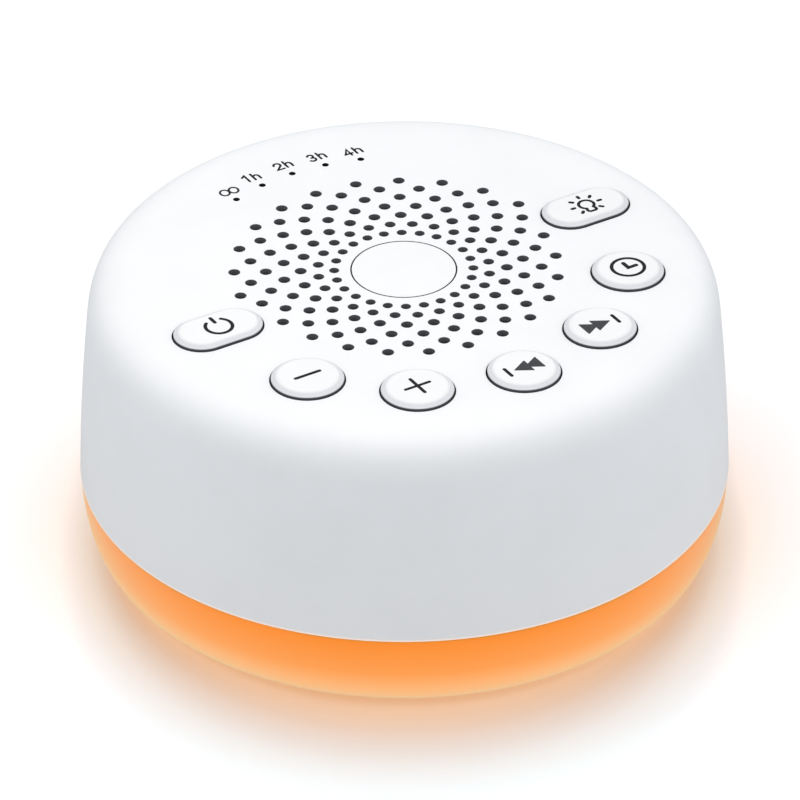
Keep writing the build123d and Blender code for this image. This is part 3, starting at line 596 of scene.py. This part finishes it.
# ---- Printed marks -------------------------------------------------------------------------
# A mark is a list of strips. A strip is a list of (left, right) points in millimetres, in order.
END_ANGLES = (12, 30, 50, 70)    # rungs of a stroke's rounded end
ROUND = 351                      # where a full ring from 0 degrees ends, one step before 360
KEY_STROKE = 0.58                # widths of the lines on the keys
BAR_STROKE = 0.6
MINUS_STROKE = 0.62
HAND_STROKE = 0.72
BULB_STROKE = 0.5
RAY_STROKE = 0.56
SIGN_REACH = 2.15                # half the length of plus and minus
RAY_RADIUS = 2.45                # from the bulb's centre to the middle of a ray
RAY_REACH = 0.24                 # half the length of a ray without its ends
SKIP_REACH = 1.1                 # half the length of the line beside the arrowheads
ARROW_REACH = 1.6                # half the height of an arrowhead
ARROW_BLUNT = 0.12
LABEL_SCALE = 0.95               # size of the timer labels' figures
LABEL_STROKE = 0.385
OVAL_STROKE = 0.345


def arc(x, y, radius_x, start, end, radius_y=None, step=9.0):
    """Points along an arc, with its angles in degrees from +X."""
    radius_y = radius_y or radius_x
    count = max(2, round(abs(end - start) / step))
    angles = [radians(start + (end - start) * k / count) for k in range(count + 1)]
    return [(x + radius_x * cos(a), y + radius_y * sin(a)) for a in angles]


def stroke(points, width, closed=False):
    """Strip of that width along the points, with rounded ends unless it is a closed ring."""
    spots = [Vector(point) for point in points]
    count = len(spots)
    rungs = []
    for k, spot in enumerate(spots):
        before = spots[k - 1] if k or closed else spot
        after = spots[(k + 1) % count] if k < count - 1 or closed else spot
        into = (spot - before).normalized() if before != spot else (after - spot).normalized()
        out = (after - spot).normalized() if after != spot else into
        along = (into + out).normalized()
        side = Vector((-along.y, along.x)) * (width / 2 / max(0.5, along.dot(into)))
        rungs.append((spot + side, spot - side))
    if closed:
        return rungs + [rungs[0]]
    first = (spots[1] - spots[0]).normalized()
    last = (spots[-1] - spots[-2]).normalized()
    start = [end_rung(spots[0], -first, width / 2, angle) for angle in END_ANGLES]
    finish = [end_rung(spots[-1], last, width / 2, angle) for angle in END_ANGLES]
    return [(right, left) for left, right in start] + rungs + finish[::-1]


def end_rung(spot, outward, radius, angle):
    side = Vector((-outward.y, outward.x)) * radius * sin(radians(angle))
    middle = spot + outward * radius * cos(radians(angle))
    return (middle + side, middle - side)


def arrowhead(tip, base):
    """Filled triangle that points along X, with its corners a little blunt."""
    shoulder = base - ARROW_BLUNT * (1 if base > tip else -1)
    return [((tip, ARROW_BLUNT / 2), (tip, -ARROW_BLUNT / 2)),
            ((shoulder, ARROW_REACH), (shoulder, -ARROW_REACH)),
            ((base, ARROW_REACH - ARROW_BLUNT), (base, ARROW_BLUNT - ARROW_REACH))]


def printed(name, strips, centre, level, body, material):
    """Raised ink: every strip is a thin closed solid that reaches into the plastic below it."""
    points = []
    faces = []
    for index, strip in enumerate(strips):
        top = level + INK_HEIGHT + index * INK_STEP
        first = len(points)
        for left, right in strip:
            for x, y in (left, right):
                points.append((centre.x + x * MM, centre.y + y * MM, top))
                points.append((centre.x + x * MM, centre.y + y * MM, level - INK_ROOT))
        last = first + 4 * (len(strip) - 1)
        for a in range(first, last, 4):
            b = a + 4
            faces.append((a, a + 2, b + 2, b))              # top
            faces.append((a + 1, b + 1, b + 3, a + 3))      # bottom
            faces.append((a + 1, a, b, b + 1))              # left
            faces.append((a + 2, a + 3, b + 3, b + 2))      # right
        if strip[0] != strip[-1]:
            faces.append((first, first + 1, first + 3, first + 2))
            faces.append((last + 2, last + 3, last + 1, last))
    mesh = bpy.data.meshes.new(name)
    mesh.from_pydata(points, [], faces)
    mesh.validate()
    mesh.materials.append(material)
    piece = add_object(name, mesh)
    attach(piece, body)


def power_mark():
    x, y = 0.04, -0.2
    ring = arc(x, y, 2.13, 128, 412)
    return [stroke(ring, KEY_STROKE), stroke([(x, y + 1.2), (x, y + 2.67)], BAR_STROKE)]


def sign_mark(width, upright=False):
    """Minus, or plus where it has its upright line too."""
    lines = [[(-SIGN_REACH, 0), (SIGN_REACH, 0)]]
    if upright:
        lines.append([(0, -SIGN_REACH), (0, SIGN_REACH)])
    return [stroke(line, width) for line in lines]


def clock_mark():
    ring = stroke(arc(0, 0, 2.6, 0, ROUND), KEY_STROKE, closed=True)
    return [ring, stroke([(-0.05, 1.3), (-0.05, -0.2), (1.4, -0.2)], HAND_STROKE)]


def skip_mark(line, *arrowheads):
    """An upright line and arrowheads, each given by the place of its tip and of its base."""
    upright = stroke([(line, -SKIP_REACH), (line, SKIP_REACH)], KEY_STROKE)
    return [upright] + [arrowhead(tip, base) for tip, base in arrowheads]


def light_mark():
    """A bulb, open towards its neck, with seven rays."""
    x, y, globe = 0.07, -0.2, 1.25
    neck = [(x + 0.62, -1.3), (x + 0.76, -1.75), (x + 0.72, -2.12), (x + 0.45, -2.35)]
    outline = arc(x, y, globe, -48, 228) + [(2 * x - u, v) for u, v in neck] + neck[::-1]
    strips = [stroke(outline, BULB_STROKE, closed=True)]
    for angle in range(-45, 226, 45):
        way = Vector((cos(radians(angle)), sin(radians(angle))))
        middle = Vector((x, y)) + way * RAY_RADIUS
        strips.append(stroke([middle - way * RAY_REACH, middle + way * RAY_REACH], RAY_STROKE))
    return strips


MARKS = {
    "power": power_mark(),
    "light": light_mark(),
    "volume_down": sign_mark(MINUS_STROKE),
    "volume_up": sign_mark(KEY_STROKE, upright=True),
    "previous": skip_mark(-2.93, (-1.78, 1.0), (0.2, 3.0)),
    "next": skip_mark(2.87, (-0.3, -3.1), (1.75, -1.1)),
    "timer": clock_mark(),
}


def print_keys():
    """Prints each key's symbol, and the arrowheads as a piece of their own in a greyer ink."""
    black = ink("key_ink", srgb(22, 22, 25))
    thin = ink("thin_key_ink", srgb(58, 59, 62))
    for key, strips in MARKS.items():
        low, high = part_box(f"{key}_button")
        centre = (low + high) / 2
        lines = 1 if key in ("previous", "next") else len(strips)
        printed(f"{key}_symbol", strips[:lines], centre, CAP_TOP, f"{key}_key", black)
        if strips[lines:]:
            printed(f"{key}_arrows", strips[lines:], centre, CAP_TOP, f"{key}_key", thin)


# Figures of the timer labels, with their lower left corner at the origin
FIGURES = {
    "1": [[(0.0, 1.78), (0.62, 2.2), (0.62, 0.14)]],
    "2": [arc(0.72, 1.55, 0.6, 170, -38) + [(0.12, 0.14), (1.42, 0.14)]],
    "3": [arc(0.62, 1.68, 0.5, 155, -90), arc(0.6, 0.66, 0.56, 90, -160, radius_y=0.52)],
    "4": [[(1.05, 0.14), (1.05, 2.16), (0.1, 0.72), (1.45, 0.72)]],
    "h": [[(0.14, 0.14), (0.14, 2.16)],
          [(0.14, 0.95)] + arc(0.66, 0.98, 0.52, 160, 0) + [(1.18, 0.14)]],
}


def label(text, x, y, gap):
    """Strokes of a figure and the letter h, which stands the gap to its right."""
    strips = []
    for index, character in enumerate(text):
        for line in FIGURES[character]:
            shifted = [(x + LABEL_SCALE * (u + gap * index), y + LABEL_SCALE * v)
                       for u, v in line]
            strips.append(stroke(shifted, LABEL_STROKE))
    return strips


def endless(x, y):
    """Two ovals that touch: the label for no time limit."""
    ovals = [arc(x + side * 0.82, y, 0.76, 0, ROUND, radius_y=0.86) for side in (-1, 1)]
    return [stroke(oval, OVAL_STROKE, closed=True) for oval in ovals]


def print_deck():
    material = ink("deck_ink", srgb(12, 12, 17))
    marks = {
        "endless_label": endless(-11.45, 34.75),
        "one_hour_label": label("1h", -7.62, 35.5, 1.65),
        "two_hour_label": label("2h", -1.54, 36.05, 1.95),
        "three_hour_label": label("3h", 4.5, 35.45, 1.85),
        "four_hour_label": label("4h", 10.2, 33.8, 1.98),
    }
    for name, strips in marks.items():
        printed(name, strips, Vector((0, 0, 0)), DECK, "housing", material)


# ---- Stage ---------------------------------------------------------------------------------
def towards_camera():
    """Direction from the object to the camera."""
    return Vector((sin(AZIMUTH) * cos(ELEVATION), -cos(AZIMUTH) * cos(ELEVATION), sin(ELEVATION)))


def ahead():
    """The same direction, level with the floor."""
    return Vector((sin(AZIMUTH), -cos(AZIMUTH), 0))


def camera_right():
    return Vector((cos(AZIMUTH), sin(AZIMUTH), 0))


def make_camera():
    back = towards_camera()
    right = camera_right()
    up = back.cross(right)
    data = bpy.data.cameras.new("camera")
    data.lens = LENS
    data.sensor_width = SENSOR
    data.clip_start = CLIP_START
    data.clip_end = CLIP_END
    camera = add_object("camera", data)
    place = Vector((0, 0, DECK)) + back * DISTANCE + right * AIM_RIGHT + up * AIM_UP
    rolled_right = right * cos(ROLL) - up * sin(ROLL)
    rolled_up = right * sin(ROLL) + up * cos(ROLL)
    turn = Matrix((rolled_right, rolled_up, back)).transposed().to_4x4()
    camera.matrix_world = Matrix.Translation(place) @ turn
    bpy.context.scene.camera = camera


def make_world():
    """Light from both sides; white behind the object and in its reflections."""
    world = bpy.data.worlds.new("studio")
    world.use_nodes = True
    bpy.context.scene.world = world
    tree = world.node_tree
    background = tree.nodes["Background"]
    background.inputs["Color"].default_value = WORLD_COLOUR

    def larger(first, second):
        node = tree.nodes.new("ShaderNodeMath")
        node.operation = "MAXIMUM"
        tree.links.new(first, node.inputs[0])
        tree.links.new(second, node.inputs[1])
        return node.outputs["Value"]

    path = tree.nodes.new("ShaderNodeLightPath")
    seen = path.outputs["Is Camera Ray"]
    for name in ("Is Glossy Ray", "Is Transmission Ray"):
        seen = larger(seen, path.outputs[name])
    side = tree.nodes.new("ShaderNodeVectorMath")
    side.operation = "DOT_PRODUCT"
    side.inputs[1].default_value = camera_right()
    tree.links.new(tree.nodes.new("ShaderNodeTexCoord").outputs["Generated"], side.inputs[0])
    panels = []
    for limit, strength in ((1.0, SIDE_LIGHT_RIGHT), (-1.0, SIDE_LIGHT_LEFT)):
        panel = tree.nodes.new("ShaderNodeMapRange")
        panel.inputs["From Max"].default_value = limit
        panel.inputs["To Min"].default_value = SIDE_LIGHT_BETWEEN
        panel.inputs["To Max"].default_value = strength
        tree.links.new(side.outputs["Value"], panel.inputs["Value"])
        panels.append(panel.outputs["Result"])
    level = tree.nodes.new("ShaderNodeMapRange")
    level.inputs["To Max"].default_value = 1.0
    tree.links.new(larger(*panels), level.inputs["To Min"])
    tree.links.new(seen, level.inputs["Value"])
    tree.links.new(level.outputs["Result"], background.inputs["Strength"])


def make_softbox():
    data = bpy.data.lights.new("softbox", "AREA")
    data.energy = SOFTBOX_POWER
    data.size = SOFTBOX_SIZE
    data.color = SOFTBOX_COLOUR
    lamp = add_object("softbox", data)
    lamp.location = ahead() * SOFTBOX_FORWARD - camera_right() * SOFTBOX_LEFT
    lamp.location.z = SOFTBOX_HEIGHT
    lamp.visible_camera = False


def floor_material():
    """Pale floor with the orange glow round the object's foot, partly lit by the base and partly
    painted, with a painted shadow.

    The camera sees it through a gain that keeps the open floor white and leaves the shadow.
    """
    shader = Shader("floor")
    shader.tree.nodes.remove(shader.surface)
    x, y, _ = shader.axes()
    radius = shader.radius()
    way = ahead()
    along = shader.math("ADD", shader.math("MULTIPLY", x, way.x),
                        shader.math("MULTIPLY", y, way.y))
    share = shader.math("DIVIDE", along, radius)
    front = shader.math("POWER", shader.math("ABSOLUTE", share), GLOW_FOCUS)
    reach = shader.math("ADD", 1.0, shader.math("MULTIPLY", front, GLOW_FRONT))
    out = shader.math("DIVIDE", shader.math("SUBTRACT", radius, GLOW_START), reach)
    # painted glow and shadow: floor colour by distance from the foot, drawn longer in front and
    # behind
    glow = shader.ramp(shader.spread(out, 0.0, GLOW_WIDTH), (
        (0.04, (0.755, 0.66, 0.56, 1.0)),
        (0.11, (0.68, 0.586, 0.492, 1.0)),
        (0.19, (0.64, 0.57, 0.503, 1.0)),
        (0.26, (0.637, 0.603, 0.566, 1.0)),
        (0.34, (0.644, 0.642, 0.625, 1.0)),
        (0.49, (0.703, 0.742, 0.75, 1.0)),
        (0.64, (0.743, 0.804, 0.824, 1.0)),
        (0.79, (0.79, 0.858, 0.902, 1.0)),
        (1.0, (0.93, 0.965, 0.985, 1.0)),
    ))
    path = shader.add("ShaderNodeLightPath")
    open_floor = shader.spread(radius, *OPEN_FLOOR)
    gain = shader.add("ShaderNodeMix", data_type="RGBA", blend_type="MULTIPLY")
    gain.inputs["Factor"].default_value = 1.0
    shader.link(glow, gain.inputs[6])
    gain.inputs[7].default_value = grey(FLOOR_GAIN)
    seen = shader.add("ShaderNodeBsdfDiffuse")
    shader.link(gain.outputs[2], seen.inputs["Color"])
    white = shader.add("ShaderNodeEmission")
    white.inputs["Strength"].default_value = 1.0
    near = shader.add("ShaderNodeMixShader")
    shader.link(open_floor, near.inputs[0])
    shader.link(seen.outputs[0], near.inputs[1])
    shader.link(white.outputs[0], near.inputs[2])
    plain = shader.add("ShaderNodeBsdfDiffuse")
    plain.inputs["Color"].default_value = FLOOR_COLOUR
    either = shader.add("ShaderNodeMixShader")
    shader.link(path.outputs["Is Camera Ray"], either.inputs[0])
    shader.link(plain.outputs[0], either.inputs[1])
    shader.link(near.outputs[0], either.inputs[2])
    shader.link(either.outputs[0], shader.output.inputs["Surface"])
    return shader.material


def make_floor():
    half = FLOOR_SIZE / 2
    corners = [(-half, -half, 0), (half, -half, 0), (half, half, 0), (-half, half, 0)]
    mesh = bpy.data.meshes.new("floor")
    mesh.from_pydata(corners, [], [(0, 1, 2, 3)])
    mesh.materials.append(floor_material())
    floor = add_object("floor", mesh)


for old in list(bpy.data.objects):
    if old.name in ("Cube", "Light", "Camera"):
        bpy.data.objects.remove(old)
dress_nodes()
make_speaker_flex()
print_keys()
print_deck()
make_camera()
make_world()
make_softbox()
make_floor()
bpy.context.scene.view_settings.view_transform = "Standard"
